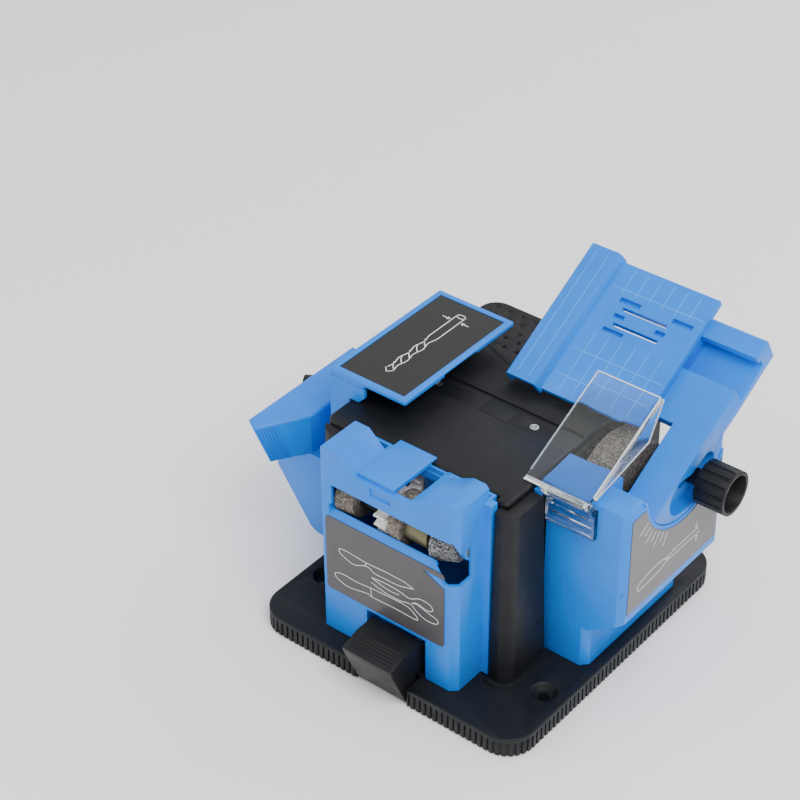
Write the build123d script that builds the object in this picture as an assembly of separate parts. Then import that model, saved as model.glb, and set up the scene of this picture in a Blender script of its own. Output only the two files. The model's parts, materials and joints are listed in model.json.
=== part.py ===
from build123d import *
from math import atan2, cos, degrees, floor, hypot, pi, radians, sin, sqrt, tan
import os

# Multi-task sharpening station: a central motor tower on a bench base with three plug-on heads.
# Frame: millimetres, +Z up, origin at the centre of the base underside.
# -Y is the knife and scissors head, +X the chisel head, -X the drill head, +Y the rear.

# ---------------------------------------------------------------- driving dimensions
FIT = 0.05                    # running fit of a shaft in a bush, on the radius
GAP = 0.35                    # gap between parts that move past each other
WALL = 2.5                    # moulded wall

BASE_X, BASE_Y, BASE_Z = 210.0, 230.0, 15.0
BASE_CORNER = 20.0
BASE_LIP = 3.0
RIB_PITCH, RIB_DEPTH, RIB_SHARE = 4.4, 1.0, 0.6
HOLE_X, HOLE_Y, HOLE_R = 89.3, 63.2, 3.8
DISH_FRONT_R, DISH_REAR_R, DISH_DEPTH = 9.0, 7.8, 4.5
NOTCH_X0, NOTCH_X1, NOTCH_DEPTH = -20.0, 21.0, 15.0
SCREW_PLACES = [(sx * 82, sy * 98) for sx in (-1, 1) for sy in (-1, 1)] + [(-87, 0), (87, 0)]
FEET_PLACES = [(sx * 78, sy * 84) for sx in (-1, 1) for sy in (-1, 1)]
FLOOR_Z0, FLOOR_Z1 = 2.3, 4.5      # bottom cover plate
FOOT_R, FOOT_H = 7.0, 1.6

TOWER_X0, TOWER_X1, TOWER_Y0, TOWER_Y1 = -80.0, 62.0, -56.0, 104.0
TOWER_TOP = 143.0
COLUMN_TOP = 147.0
COLUMN_Y0, COLUMN_Y1 = -76.0, -36.0
COLUMN_R = (54.0, 70.0)
COLUMN_L = (-84.0, -64.0)
DRAFT_X, DRAFT_FRONT, DRAFT_REAR = 1.6, 3.5, 5.0     # how far a column's sides lean in at its top
COVER_X0, COVER_X1, COVER_Y0, COVER_Y1, COVER_TOP = -84.0, 59.0, -60.0, 110.0, 150.0
COVER_EAR_Y, EAR_INNER_X = -65.0, 49.0
STRIP_Y, STRIP_HALF, STRIP_DEPTH = 10.0, 9.5, 1.2
COVER_SCREW_X = (-52.0, 24.0)
INLAY_X0, INLAY_X1 = -14.0, 8.0
SWITCH_X, SWITCH_Z = -40.0, 66.0
GLAND_X, GLAND_Z, GLAND_BORE_R = 30.0, 34.0, 3.4

MOTOR_Y, MOTOR_Z = 30.0, 106.0
SHAFT_R = 4.0
STATOR_X0, STATOR_X1, STATOR_R, BORE_R = -26.0, 6.0, 32.0, 16.0
CHISEL_WHEEL_R, CHISEL_WHEEL_X0, CHISEL_WHEEL_X1 = 41.3, 66.5, 86.0
DRILL_WHEEL_R, DRILL_WHEEL_X0, DRILL_WHEEL_X1 = 30.0, -97.0, -86.0
BELT_X0, BELT_X1 = 42.0, 49.0
MOTOR_PULLEY_R, LAY_PULLEY_R, BELT_T = 7.0, 13.0, 2.0
BRACKET_LEFT_X, BRACKET_RIGHT_X = -56.0, 34.0

SPINDLE_Y, SPINDLE_Z, SPINDLE_R = -80.0, 120.0, 4.0
GEAR_MODULE, SPINDLE_TEETH, LAY_TEETH = 2.2, 13, 26
GEAR_X0, GEAR_X1 = -20.0, -11.0
LAY_Z = 112.0
LAY_PITCH_R = GEAR_MODULE * LAY_TEETH / 2
SPINDLE_PITCH_R = GEAR_MODULE * SPINDLE_TEETH / 2
CENTRE_DISTANCE = LAY_PITCH_R + SPINDLE_PITCH_R + 0.5
LAY_Y = SPINDLE_Y + sqrt(CENTRE_DISTANCE ** 2 - (SPINDLE_Z - LAY_Z) ** 2)
MESH_ANGLE = atan2(SPINDLE_Z - LAY_Z, SPINDLE_Y - LAY_Y)
STONE_R = 17.0

KNIFE_X0, KNIFE_X1, KNIFE_Y0, KNIFE_Y1 = -58.0, 47.5, -100.0, -57.5
KNIFE_HIGH, KNIFE_MID, KNIFE_HIGH_Y1 = 162.0, 149.0, -68.0
KNIFE_SLOT_Z0, KNIFE_SLOT_Z1 = 118.0, 134.0

CHISEL_X0, CHISEL_FOOT_X1, CHISEL_X1 = 63.0, 97.3, 122.0
CHISEL_KNEE_Z0, CHISEL_KNEE_Z1 = 47.5, 63.8
CHISEL_Y0, CHISEL_Y1, CHISEL_TOP = -30.0, 76.0, 149.0
ARM_X0, ARM_X1 = 97.0, 121.6
CHISEL_WINDOW_Y, LUG_Y0 = 1.5, -39.4
TILT_TRAVEL = 14.0            # degrees either way
TILT_Y, TILT_Z, CRADLE_R = 34.0, 155.0, 43.1
TILT = radians(29.3)          # incline of the table at rest
RAIL_ORIGIN_Z = 129.1         # height of the incline where it crosses the plane y = 0
RAIL_X0 = 64.0
RAIL_S = (62.0, 98.5, 126.0, 137.5)
CHANNEL_FLOOR, CHANNEL_LIP = -13.5, -6.3
STUD_Y, STUD_Z, STUD_R, HUB_R = 50.0, 131.0, 3.0, 5.5
KNOB_X0, KNOB_X1, KNOB_R, KNOB_FLUTES = 126.0, 147.5, 15.0, 14
PLATE_X0, PLATE_X1, PLATE_S0, PLATE_S1 = 8.5, 82.0, 46.0, 147.7
TABLE_TOP = 5.3
SHIELD_Y, SHIELD_Z, SHIELD_SLOPE = -33.5, 149.9, 26.6
PIVOT_Y, PIVOT_Z, PIVOT_R = -38.0, 151.0, 1.3
CLIP_X0, CLIP_X1 = 65.0, 100.5

DRILL_X0, DRILL_FOOT_X0, DRILL_X1 = -145.0, -97.0, -81.0
DRILL_Y0, DRILL_Y1 = -45.0, 78.0
PANEL_X0, PANEL_Y0, PANEL_Y1 = -100.5, -40.5, 73.0
LID_X1, LID_Z0, LID_Z1, LID_EDGE_Z0 = -38.8, 162.0, 168.0, 164.7
GUIDE_Z0, GUIDE_Z1 = 94.0, 124.0
GUIDE_PIVOT = (-118.0, 8.0)
DRILL_YAW = 31.0              # the drill meets the wheel face at 59 degrees
DRILL_BORE_R = 6.7
DRILL_AXIS_Z = 109.0
DRILL_CONTACT = (-101.0, 18.0)

os.makedirs("parts", exist_ok=True)


# ---------------------------------------------------------------- building helpers
def save(name, *shapes):
    """Write one node: the solids of all the shapes given."""
    solids = [s for shape in shapes for s in shape.solids()]
    result = solids[0] if len(solids) == 1 else Compound(children=solids)
    result.label = name
    export_step(result, f"parts/{name}.step")


def block(x0, x1, y0, y1, z0, z1):
    """Box between two corners."""
    centre = ((x0 + x1) / 2, (y0 + y1) / 2, (z0 + z1) / 2)
    return Pos(*centre) * Box(abs(x1 - x0), abs(y1 - y0), abs(z1 - z0))


def rod_x(x0, x1, y, z, r):
    """Cylinder along X."""
    return Pos((x0 + x1) / 2, y, z) * Rot(0, 90, 0) * Cylinder(r, x1 - x0)


def rod_y(y0, y1, x, z, r):
    """Cylinder along Y."""
    return Pos(x, (y0 + y1) / 2, z) * Rot(90, 0, 0) * Cylinder(r, y1 - y0)


def rod_z(z0, z1, x, y, r):
    """Cylinder along Z."""
    return Pos(x, y, (z0 + z1) / 2) * Cylinder(r, z1 - z0)


def tube_x(x0, x1, y, z, r_out, r_in):
    """Ring along X."""
    return rod_x(x0, x1, y, z, r_out) - rod_x(x0 - 1, x1 + 1, y, z, r_in)


def prism_x(points, x0, x1):
    """Outline in Y and Z, thick along X."""
    return extrude(Plane.YZ.offset(x0) * Polygon(*points, align=None), x1 - x0, dir=(1, 0, 0))


def prism_y(points, y0, y1):
    """Outline in X and Z, thick along Y."""
    return extrude(Plane.XZ.offset(-y0) * Polygon(*points, align=None), y1 - y0, dir=(0, 1, 0))


def prism_z(points, z0, z1):
    """Outline in X and Y, thick along Z."""
    return extrude(Plane.XY.offset(z0) * Polygon(*points, align=None), z1 - z0, dir=(0, 0, 1))


def slab(width, depth, corner, z0, z1):
    """Rounded rectangle about the origin, thick along Z."""
    return extrude(Plane.XY.offset(z0) * RectangleRounded(width, depth, corner), z1 - z0)


def vertical_edges(shape, corners):
    """Edges along Z that stand at the given plan corners."""
    upright = shape.edges().filter_by(Axis.Z)
    return [e for e in upright if any(hypot(e.center().X - x, e.center().Y - y) < 0.6 for x, y in corners)]


# ---------------------------------------------------------------- base
def rim_point(distance, inset):
    """Point of the base's rounded outline, a distance round it, moved inwards by inset."""
    half_x, half_y = BASE_X / 2 - BASE_CORNER, BASE_Y / 2 - BASE_CORNER
    quarter = BASE_CORNER * pi / 2
    sides = [2 * half_y, quarter, 2 * half_x, quarter, 2 * half_y, quarter, 2 * half_x, quarter]
    centres = [(half_x, half_y), (-half_x, half_y), (-half_x, -half_y), (half_x, -half_y)]
    radius = BASE_CORNER - inset
    for i, length in enumerate(sides):
        if distance > length:
            distance -= length
            continue
        side = i // 2
        heading = side * pi / 2
        cx, cy = centres[side] if i % 2 else centres[side - 1]
        if i % 2:
            angle = heading + distance / BASE_CORNER
            return cx + radius * cos(angle), cy + radius * sin(angle)
        along = (-sin(heading), cos(heading))
        out = (cos(heading), sin(heading))
        return (cx + along[0] * distance + out[0] * radius, cy + along[1] * distance + out[1] * radius)
    return rim_point(0, inset)


def ribbed_outline():
    """Toothed outline of the skirt: ribs and gaps all the way round."""
    perimeter = 2 * (BASE_X + BASE_Y) - 8 * BASE_CORNER + 2 * pi * BASE_CORNER
    count = floor(perimeter / RIB_PITCH)
    pitch = perimeter / count
    points = []
    for i in range(count):
        start, end = i * pitch, (i + RIB_SHARE) * pitch
        points += [rim_point(start, 0), rim_point(end, 0)]
        points += [rim_point(end, RIB_DEPTH), rim_point(start + pitch * 0.999, RIB_DEPTH)]
    return points


def make_base():
    lip = slab(BASE_X, BASE_Y, BASE_CORNER, BASE_Z - BASE_LIP, BASE_Z)
    lip = fillet(lip.faces().sort_by(Axis.Z)[-1].edges(), 1.0)
    skirt = prism_z(ribbed_outline(), 1.0, BASE_Z - BASE_LIP)
    plate = lip + skirt + tower_foot_ring()
    plate -= slab(BASE_X - 8, BASE_Y - 8, BASE_CORNER - 4, 0.0, BASE_Z - 4)
    for x in (-HOLE_X, HOLE_X):
        for y in (-HOLE_Y, HOLE_Y):
            dish_r = DISH_FRONT_R if y < 0 else DISH_REAR_R
            plate += rod_z(0, BASE_Z - 1, x, y, dish_r + 2)
            plate -= rod_z(-1, BASE_Z + 1, x, y, HOLE_R)
            dish = Cone(dish_r - 3, dish_r, DISH_DEPTH) + Pos(0, 0, DISH_DEPTH) * Cylinder(dish_r, DISH_DEPTH)
            plate -= Pos(x, y, BASE_Z - DISH_DEPTH / 2) * dish
    front = -BASE_Y / 2
    plate -= block(NOTCH_X0, NOTCH_X1, front - 1, front + NOTCH_DEPTH, -1, BASE_Z + 1)
    for x in (NOTCH_X0 - 3, NOTCH_X1):
        plate += block(x, x + 3, front + 1, front + NOTCH_DEPTH + 3, 1, BASE_Z - 1)
    plate += block(NOTCH_X0 - 3, NOTCH_X1 + 3, front + NOTCH_DEPTH, front + NOTCH_DEPTH + 3, 1, BASE_Z - 1)
    plate -= block(TOWER_X0 + 6, TOWER_X1 - 6, TOWER_Y0 + 6, TOWER_Y1 - 6, 5, BASE_Z + 1)
    for x, y in SCREW_PLACES:
        plate += rod_z(FLOOR_Z1 + 0.1, BASE_Z - 1, x, y, 4) - rod_z(4, 12, x, y, 1.3)
    save("base_plate", plate)

    cover = slab(BASE_X - 9, BASE_Y - 9, BASE_CORNER - 4.5, FLOOR_Z0, FLOOR_Z1)
    cover -= block(NOTCH_X0 - 4, NOTCH_X1 + 4, front, front + NOTCH_DEPTH + 4, 0, 6)
    for x in (-HOLE_X, HOLE_X):
        for y in (-HOLE_Y, HOLE_Y):
            cover -= rod_z(0, 6, x, y, (DISH_FRONT_R if y < 0 else DISH_REAR_R) + 2.4)
    for i in range(9):
        cover -= block(-44, 44, -36 + 9 * i, -32 + 9 * i, 0, 6)
    screws = []
    for x, y in SCREW_PLACES:
        cover -= rod_z(0, 6, x, y, 1.6)
        shank = rod_z(FLOOR_Z1, 11, x, y, 1.3) + rod_z(1.2, FLOOR_Z1, x, y, 1.5)
        screws.append(shank + rod_z(1.0, FLOOR_Z0, x, y, 3))
    cover += Compound(children=[rod_z(FOOT_H, FLOOR_Z0, x, y, FOOT_R + 1) for x, y in FEET_PLACES])
    feet = [rod_z(0, FOOT_H, x, y, FOOT_R) for x, y in FEET_PLACES]
    save("bottom_cover", cover)
    save("rubber_feet", *feet)
    save("bottom_screws", *screws)


# ---------------------------------------------------------------- tower
def tower_plan(grow):
    """Plan of the tower: main block with a column at each front corner."""
    g = grow
    left, right = COLUMN_L[0] - g, COLUMN_R[1] + g
    return [
        (left, COLUMN_Y0 - g), (COLUMN_L[1] + g, COLUMN_Y0 - g), (COLUMN_L[1] + g, TOWER_Y0 - g),
        (COLUMN_R[0] - g, TOWER_Y0 - g), (COLUMN_R[0] - g, COLUMN_Y0 - g), (right, COLUMN_Y0 - g),
        (right, COLUMN_Y1 + g), (TOWER_X1 + g, COLUMN_Y1 + g), (TOWER_X1 + g, TOWER_Y1 + g),
        (TOWER_X0 - g, TOWER_Y1 + g), (TOWER_X0 - g, COLUMN_Y1 + g), (left, COLUMN_Y1 + g),
    ]


def front_column(inner_x, outer_x):
    """Front column whose outer sides lean in towards the top, with rounded front corners."""
    lean = DRAFT_X if outer_x > inner_x else -DRAFT_X
    foot = [(inner_x, COLUMN_Y0), (outer_x, COLUMN_Y0), (outer_x, COLUMN_Y1), (inner_x, COLUMN_Y1)]
    front, rear, side = COLUMN_Y0 + DRAFT_FRONT, COLUMN_Y1 - DRAFT_REAR, outer_x - lean
    top = [(inner_x, front), (side, front), (side, rear), (inner_x, rear)]
    lower = Plane.XY.offset(BASE_Z) * Polygon(*foot, align=None)
    upper = Plane.XY.offset(COLUMN_TOP) * Polygon(*top, align=None)
    column = loft([lower.face(), upper.face()])
    y = COLUMN_Y0 + DRAFT_FRONT / 2
    for x, radius in ((outer_x - lean / 2, 9), (inner_x, 3)):
        leaning = [e for e in column.edges() if hypot(e.center().X - x, e.center().Y - y) < 0.6
                   and e.length > COLUMN_TOP - BASE_Z - 1]
        column = fillet(leaning, radius)
    return column


def tower_block():
    """Tower before it is hollowed, with its upright corners rounded."""
    shell = block(TOWER_X0, TOWER_X1, TOWER_Y0, TOWER_Y1, BASE_Z, COLUMN_TOP)
    shell = fillet(vertical_edges(shell, [(TOWER_X1, TOWER_Y1), (TOWER_X0, TOWER_Y1)]), 8)
    return shell + front_column(*COLUMN_R) + front_column(COLUMN_L[1], COLUMN_L[0])


def tower_foot_ring():
    """Raised rim of the base round the tower's two front columns."""
    margin = 3.2
    ring = prism_z(tower_plan(margin), BASE_Z - 0.5, BASE_Z + 2.2)
    corners = [(COLUMN_L[0] - margin, COLUMN_Y0 - margin), (COLUMN_R[1] + margin, COLUMN_Y0 - margin)]
    ring = fillet(vertical_edges(ring, corners), 12)
    ring -= tower_block()
    ring -= block(KNIFE_X0 - 6.5, COLUMN_R[0] + 0.5, -BASE_Y, COLUMN_Y1 + 6, 0, BASE_Z + 5)
    ring -= block(TOWER_X1 - 1, BASE_X, CHISEL_Y0 - 1, BASE_Y, 0, BASE_Z + 5)
    ring -= block(-BASE_X, TOWER_X0 + 1, DRILL_Y0 - 1, BASE_Y, 0, BASE_Z + 5)
    return ring - block(TOWER_X0 + 2, TOWER_X1 - 2, TOWER_Y0 + 2, BASE_Y, 0, BASE_Z + 5)


def make_tower():
    shell = tower_block()
    shell -= block(COVER_X0 - 0.5, COVER_X1 + 0.5, COVER_EAR_Y - 0.5, COVER_Y1 + 1, TOWER_TOP, 160)
    shell -= block(COVER_X1, TOWER_X1 + 1, COLUMN_Y1 - DRAFT_REAR, TOWER_Y1 + 1, TOWER_TOP, 160)
    shell -= block(TOWER_X0 + WALL, COVER_X1 - 1.5, TOWER_Y0 + WALL, TOWER_Y1 - WALL, BASE_Z - 1, TOWER_TOP + 1)
    for inner_x, outer_x in (COLUMN_R, (COLUMN_L[1], COLUMN_L[0])):
        x0, x1 = sorted((inner_x, outer_x))
        hollow = block(x0 + 3, x1 - 5, COLUMN_Y0 + 6.5, TOWER_Y0 + 4, BASE_Z - 1, TOWER_TOP - WALL)
        shell -= fillet(hollow.edges().filter_by(Axis.Z), 2.5)
    shell += Compound(children=[
        block(TOWER_X1, TOWER_X1 + 1.6, y, y + 5.2, 100, 141) for y in range(-2, 66, 9)])
    shell -= rod_x(COVER_X1 - 3, TOWER_X1 + 3, MOTOR_Y, MOTOR_Z, 9)
    shell -= rod_x(TOWER_X0 - 1, TOWER_X0 + 4, MOTOR_Y, MOTOR_Z, 9)
    shell -= block(GEAR_X0 - 3, GEAR_X1 + 3, TOWER_Y0 - 1, TOWER_Y0 + 4, LAY_Z - 33, 143.5)
    for i in range(8):
        shell -= block(-60 + 7 * i, -56.5 + 7 * i, TOWER_Y1 - 4, TOWER_Y1 + 1, 96, 130)
    shell -= block(SWITCH_X - 10.5, SWITCH_X + 10.5, TOWER_Y1 - 4, TOWER_Y1 + 1, 52, 80)
    shell -= rod_y(TOWER_Y1 - 4, TOWER_Y1 + 1, GLAND_X, GLAND_Z, 7.05)
    for x in (BRACKET_LEFT_X, BRACKET_RIGHT_X):
        shell += block(x - 5, x + 5, TOWER_Y0 + 1, MOTOR_Y - 36, 86, 104)
        shell += block(x - 5, x + 5, MOTOR_Y + 36, TOWER_Y1 - 1, 86, 104)
    for x in COVER_SCREW_X:
        shell += block(x - 4, x + 4, TOWER_Y1 - 8, TOWER_Y1 - 1, 120, TOWER_TOP)
    save("tower_housing", shell)


def make_cover():
    plan = [
        (COVER_X0, COVER_EAR_Y), (COLUMN_L[1] + 0.5, COVER_EAR_Y), (COLUMN_L[1] + 0.5, COVER_Y0),
        (EAR_INNER_X, COVER_Y0), (EAR_INNER_X, COVER_EAR_Y), (COVER_X1, COVER_EAR_Y),
        (COVER_X1, COVER_Y1), (COVER_X0, COVER_Y1),
    ]
    cover = prism_z(plan, TOWER_TOP, COVER_TOP)
    cover = fillet(vertical_edges(cover, [(COVER_X1, COVER_Y1), (COVER_X0, COVER_Y1)]), 14)
    cover = fillet(vertical_edges(cover, [(COVER_X0, COVER_EAR_Y)]), 7)
    cover = fillet(vertical_edges(cover, [(COVER_X1, COVER_EAR_Y)]), 4.5)
    cover = fillet(cover.faces().sort_by(Axis.Z)[-1].edges(), 2.6)
    cover -= block(TOWER_X0 + 3, COVER_X1 - 3, TOWER_Y0 + 3, TOWER_Y1 - 3, TOWER_TOP - 1, COVER_TOP - 3)
    strip_z = COVER_TOP - STRIP_DEPTH
    cover -= block(-78, COVER_X1 + 1, STRIP_Y - STRIP_HALF, STRIP_Y + STRIP_HALF, strip_z, 160)
    cover -= block(INLAY_X0, INLAY_X1, STRIP_Y - 8, STRIP_Y + 8, strip_z - 0.8, 160)
    for x in COVER_SCREW_X:
        cover += rod_z(TOWER_TOP, COVER_TOP - 2.5, x, STRIP_Y, 5)
        cover -= rod_z(TOWER_TOP - 1, 160, x, STRIP_Y, 1.8)
        cover -= rod_z(COVER_TOP - 3.4, 160, x, STRIP_Y, 3.4)
    dimples = []
    for row in range(5):
        for col in range(13):
            x = -74 + 10.5 * col + (5.25 if row % 2 else 0)
            if x < 52:
                dimples.append(Pos(x, 66 + 9 * row, COVER_TOP + 1.6) * Sphere(2.6))
    cover -= Compound(children=dimples)
    save("top_cover", cover)

    inlay = block(INLAY_X0 + 0.1, INLAY_X1 - 0.1, STRIP_Y - 7.9, STRIP_Y + 7.9, strip_z - 0.8, strip_z + 0.2)
    save("cover_inlay", inlay)
    screws = []
    for x in COVER_SCREW_X:
        head = rod_z(COVER_TOP - 3.4, COVER_TOP - 1.4, x, STRIP_Y, 3.1)
        head -= block(x - 2.2, x + 2.2, STRIP_Y - 0.4, STRIP_Y + 0.4, COVER_TOP - 2.4, 160)
        head -= block(x - 0.4, x + 0.4, STRIP_Y - 2.2, STRIP_Y + 2.2, COVER_TOP - 2.4, 160)
        screws.append(head + rod_z(TOWER_TOP - 6, COVER_TOP - 3.4, x, STRIP_Y, 1.6))
    save("cover_screws", *screws)


# ---------------------------------------------------------------- motor and drive
def gear(teeth, pitch_r, x0, x1, y, z, bore_r, phase):
    """Spur gear along X, one tooth centred on the phase angle, with generous backlash."""
    step = 2 * pi / teeth
    root, tip = pitch_r - 1.2 * GEAR_MODULE, pitch_r + 0.75 * GEAR_MODULE
    points = []
    for i in range(teeth):
        middle = phase + i * step
        for r, share in ((root, -0.24), (tip, -0.10), (tip, 0.10), (root, 0.24)):
            angle = middle + share * step
            points.append((y + r * cos(angle), z + r * sin(angle)))
    return prism_x(points, x0, x1) - rod_x(x0 - 1, x1 + 1, y, z, bore_r)


def make_motor():
    core = tube_x(STATOR_X0, STATOR_X1, MOTOR_Y, MOTOR_Z, STATOR_R, BORE_R + 0.4)
    for side in (-1, 1):
        y0, y1 = sorted((MOTOR_Y + side * 19, MOTOR_Y + side * 28))
        core -= block(STATOR_X0 - 1, STATOR_X1 + 1, y0, y1, MOTOR_Z - 13, MOTOR_Z + 13)
    save("stator_core", core)
    coils = []
    for side in (-1, 1):
        inner, outer = sorted((MOTOR_Y + side * 19.3, MOTOR_Y + side * 27.7))
        coils.append(block(STATOR_X0 - 9, STATOR_X1 + 9, inner, outer, MOTOR_Z - 12.6, MOTOR_Z + 12.6))
    save("field_coils", *coils)

    shaft_x0, shaft_x1 = DRILL_WHEEL_X0 - 0.5, CHISEL_WHEEL_X1 + 5
    save("motor_shaft", rod_x(shaft_x0, shaft_x1, MOTOR_Y, MOTOR_Z, SHAFT_R))
    armature = tube_x(STATOR_X0, STATOR_X1, MOTOR_Y, MOTOR_Z, BORE_R - 0.4, SHAFT_R)
    for i in range(12):
        turn = Pos(0, MOTOR_Y, MOTOR_Z) * Rot(i * 30, 0, 0)
        armature -= turn * Pos((STATOR_X0 + STATOR_X1) / 2, 0, BORE_R - 3) * Box(40, 2.2, 7)
    save("armature_core", armature)
    ends = [tube_x(STATOR_X0 - 8, STATOR_X0, MOTOR_Y, MOTOR_Z, 13, SHAFT_R),
            tube_x(STATOR_X1, STATOR_X1 + 7, MOTOR_Y, MOTOR_Z, 13, SHAFT_R)]
    save("armature_windings", *ends)
    commutator = tube_x(-48, -36, MOTOR_Y, MOTOR_Z, 9, SHAFT_R)
    for i in range(16):
        turn = Pos(0, MOTOR_Y, MOTOR_Z) * Rot(i * 22.5, 0, 0)
        commutator -= turn * Pos(-42, 0, 9) * Box(14, 0.6, 1.6)
    save("commutator", commutator)
    fan = tube_x(15, 18, MOTOR_Y, MOTOR_Z, 26, SHAFT_R) + tube_x(18, 25, MOTOR_Y, MOTOR_Z, 7, SHAFT_R)
    for i in range(9):
        turn = Pos(0, MOTOR_Y, MOTOR_Z) * Rot(i * 40, 0, 0)
        fan += turn * Pos(21, 0, 15.5) * Rot(0, 0, 20) * Box(7, 1.2, 20)
    save("cooling_fan", fan)
    save("motor_pulley", tube_x(BELT_X0 - 0.6, BELT_X1 + 0.6, MOTOR_Y, MOTOR_Z, MOTOR_PULLEY_R, SHAFT_R)
         + tube_x(BELT_X0 - 2.2, BELT_X0 - 0.6, MOTOR_Y, MOTOR_Z, MOTOR_PULLEY_R + 3, SHAFT_R)
         + tube_x(BELT_X1 + 0.6, BELT_X1 + 2.2, MOTOR_Y, MOTOR_Z, MOTOR_PULLEY_R + 3, SHAFT_R))

    brackets = []
    for x in (BRACKET_LEFT_X, BRACKET_RIGHT_X):
        bar = block(x - 2, x + 2, MOTOR_Y - 36, MOTOR_Y + 36, MOTOR_Z - 16, MOTOR_Z + 12)
        bar += rod_x(x - 4, x + 4, MOTOR_Y, MOTOR_Z, 15)
        bar -= rod_x(x - 5, x + 5, MOTOR_Y, MOTOR_Z, 11)
        brackets.append(bar)
    save("motor_bracket_left", brackets[0])
    save("motor_bracket_right", brackets[1])
    bearings = [tube_x(x - 3.5, x + 3.5, MOTOR_Y, MOTOR_Z, 11, SHAFT_R + FIT)
                for x in (BRACKET_LEFT_X, BRACKET_RIGHT_X)]
    save("motor_bearings", *bearings)
    brushes, holders = [], []
    for side in (-1, 1):
        y0, y1 = sorted((MOTOR_Y + side * 9.35, MOTOR_Y + side * 22))
        brushes.append(block(-45, -39, y0, y1, MOTOR_Z - 3, MOTOR_Z + 3))
        y0, y1 = sorted((MOTOR_Y + side * 13, MOTOR_Y + side * 30))
        holder = block(-47.5, -36.5, y0, y1, MOTOR_Z - 5, MOTOR_Z + 5)
        holder -= block(-45, -39, MOTOR_Y - 22, MOTOR_Y + 22, MOTOR_Z - 3, MOTOR_Z + 3)
        y0, y1 = sorted((MOTOR_Y + side * 24, MOTOR_Y + side * 30))
        holder += block(BRACKET_LEFT_X + 2, -47, y0, y1, MOTOR_Z - 4, MOTOR_Z + 4)
        holders.append(holder)
    save("carbon_brushes", *brushes)
    save("brush_holders", *holders)

    wheel = tube_x(CHISEL_WHEEL_X0, CHISEL_WHEEL_X1, MOTOR_Y, MOTOR_Z, CHISEL_WHEEL_R, SHAFT_R)
    save("chisel_wheel", chamfer(wheel.edges().filter_by(GeomType.CIRCLE).sort_by(SortBy.RADIUS)[-2:], 0.8))
    wheel = tube_x(DRILL_WHEEL_X0, DRILL_WHEEL_X1, MOTOR_Y, MOTOR_Z, DRILL_WHEEL_R, SHAFT_R)
    save("drill_wheel", chamfer(wheel.edges().filter_by(GeomType.CIRCLE).sort_by(SortBy.RADIUS)[-2:], 0.8))
    nut = extrude(Plane.YZ.offset(CHISEL_WHEEL_X1) * RegularPolygon(6.5, 6), 4)
    nut = Pos(0, MOTOR_Y, MOTOR_Z) * nut - rod_x(80, 100, MOTOR_Y, MOTOR_Z, SHAFT_R)
    flanges = [tube_x(CHISEL_WHEEL_X0 - 1.8, CHISEL_WHEEL_X0, MOTOR_Y, MOTOR_Z, 8, SHAFT_R),
               tube_x(DRILL_WHEEL_X1, DRILL_WHEEL_X1 + 1.6, MOTOR_Y, MOTOR_Z, 8, SHAFT_R)]
    save("wheel_flanges_and_nut", nut, *flanges)


def belt_loop(x0, x1, clearance):
    """Flat belt round the two pulleys: the outside of one hull less the inside of another."""
    def hull(extra, xa, xb):
        small, large = MOTOR_PULLEY_R + extra, LAY_PULLEY_R + extra
        span = hypot(MOTOR_Y - LAY_Y, MOTOR_Z - LAY_Z)
        heading = atan2(MOTOR_Z - LAY_Z, MOTOR_Y - LAY_Y)
        lean = atan2(sqrt(span ** 2 - (large - small) ** 2), large - small)
        points = []
        for y, z, r, signs in ((LAY_Y, LAY_Z, large, (1, -1)), (MOTOR_Y, MOTOR_Z, small, (-1, 1))):
            for sign in signs:
                points.append((y + r * cos(heading + sign * lean), z + r * sin(heading + sign * lean)))
        solid = prism_x(points, xa, xb)
        return solid + rod_x(xa, xb, LAY_Y, LAY_Z, large) + rod_x(xa, xb, MOTOR_Y, MOTOR_Z, small)
    return hull(clearance + BELT_T, x0, x1) - hull(clearance, x0 - 1, x1 + 1)


def make_drive():
    save("drive_belt", belt_loop(BELT_X0, BELT_X1, 0.3))
    save("lay_shaft", rod_x(-34, 56, LAY_Y, LAY_Z, SHAFT_R))
    pulley = tube_x(BELT_X0 - 0.6, BELT_X1 + 0.6, LAY_Y, LAY_Z, LAY_PULLEY_R, SHAFT_R)
    for x in (BELT_X0 - 2.2, BELT_X1 + 0.6):
        pulley += tube_x(x, x + 1.6, LAY_Y, LAY_Z, LAY_PULLEY_R + 2.2, SHAFT_R)
    for i in range(5):
        turn = Pos(0, LAY_Y, LAY_Z) * Rot(i * 72, 0, 0)
        pulley -= turn * Pos(45, 0, 14) * Rot(0, 90, 0) * Cylinder(5, 20)
    save("lay_pulley", pulley)
    save("lay_gear", gear(LAY_TEETH, LAY_PITCH_R, GEAR_X0, GEAR_X1, LAY_Y, LAY_Z, SHAFT_R, MESH_ANGLE))
    blocks = []
    for x in (-29, 20):
        pillar = block(x - 3, x + 3, LAY_Y - 9, LAY_Y + 9, FLOOR_Z1, LAY_Z + 9)
        blocks.append(pillar - rod_x(x - 4, x + 4, LAY_Y, LAY_Z, SHAFT_R + FIT))
    save("lay_shaft_pillars", *blocks)


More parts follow.
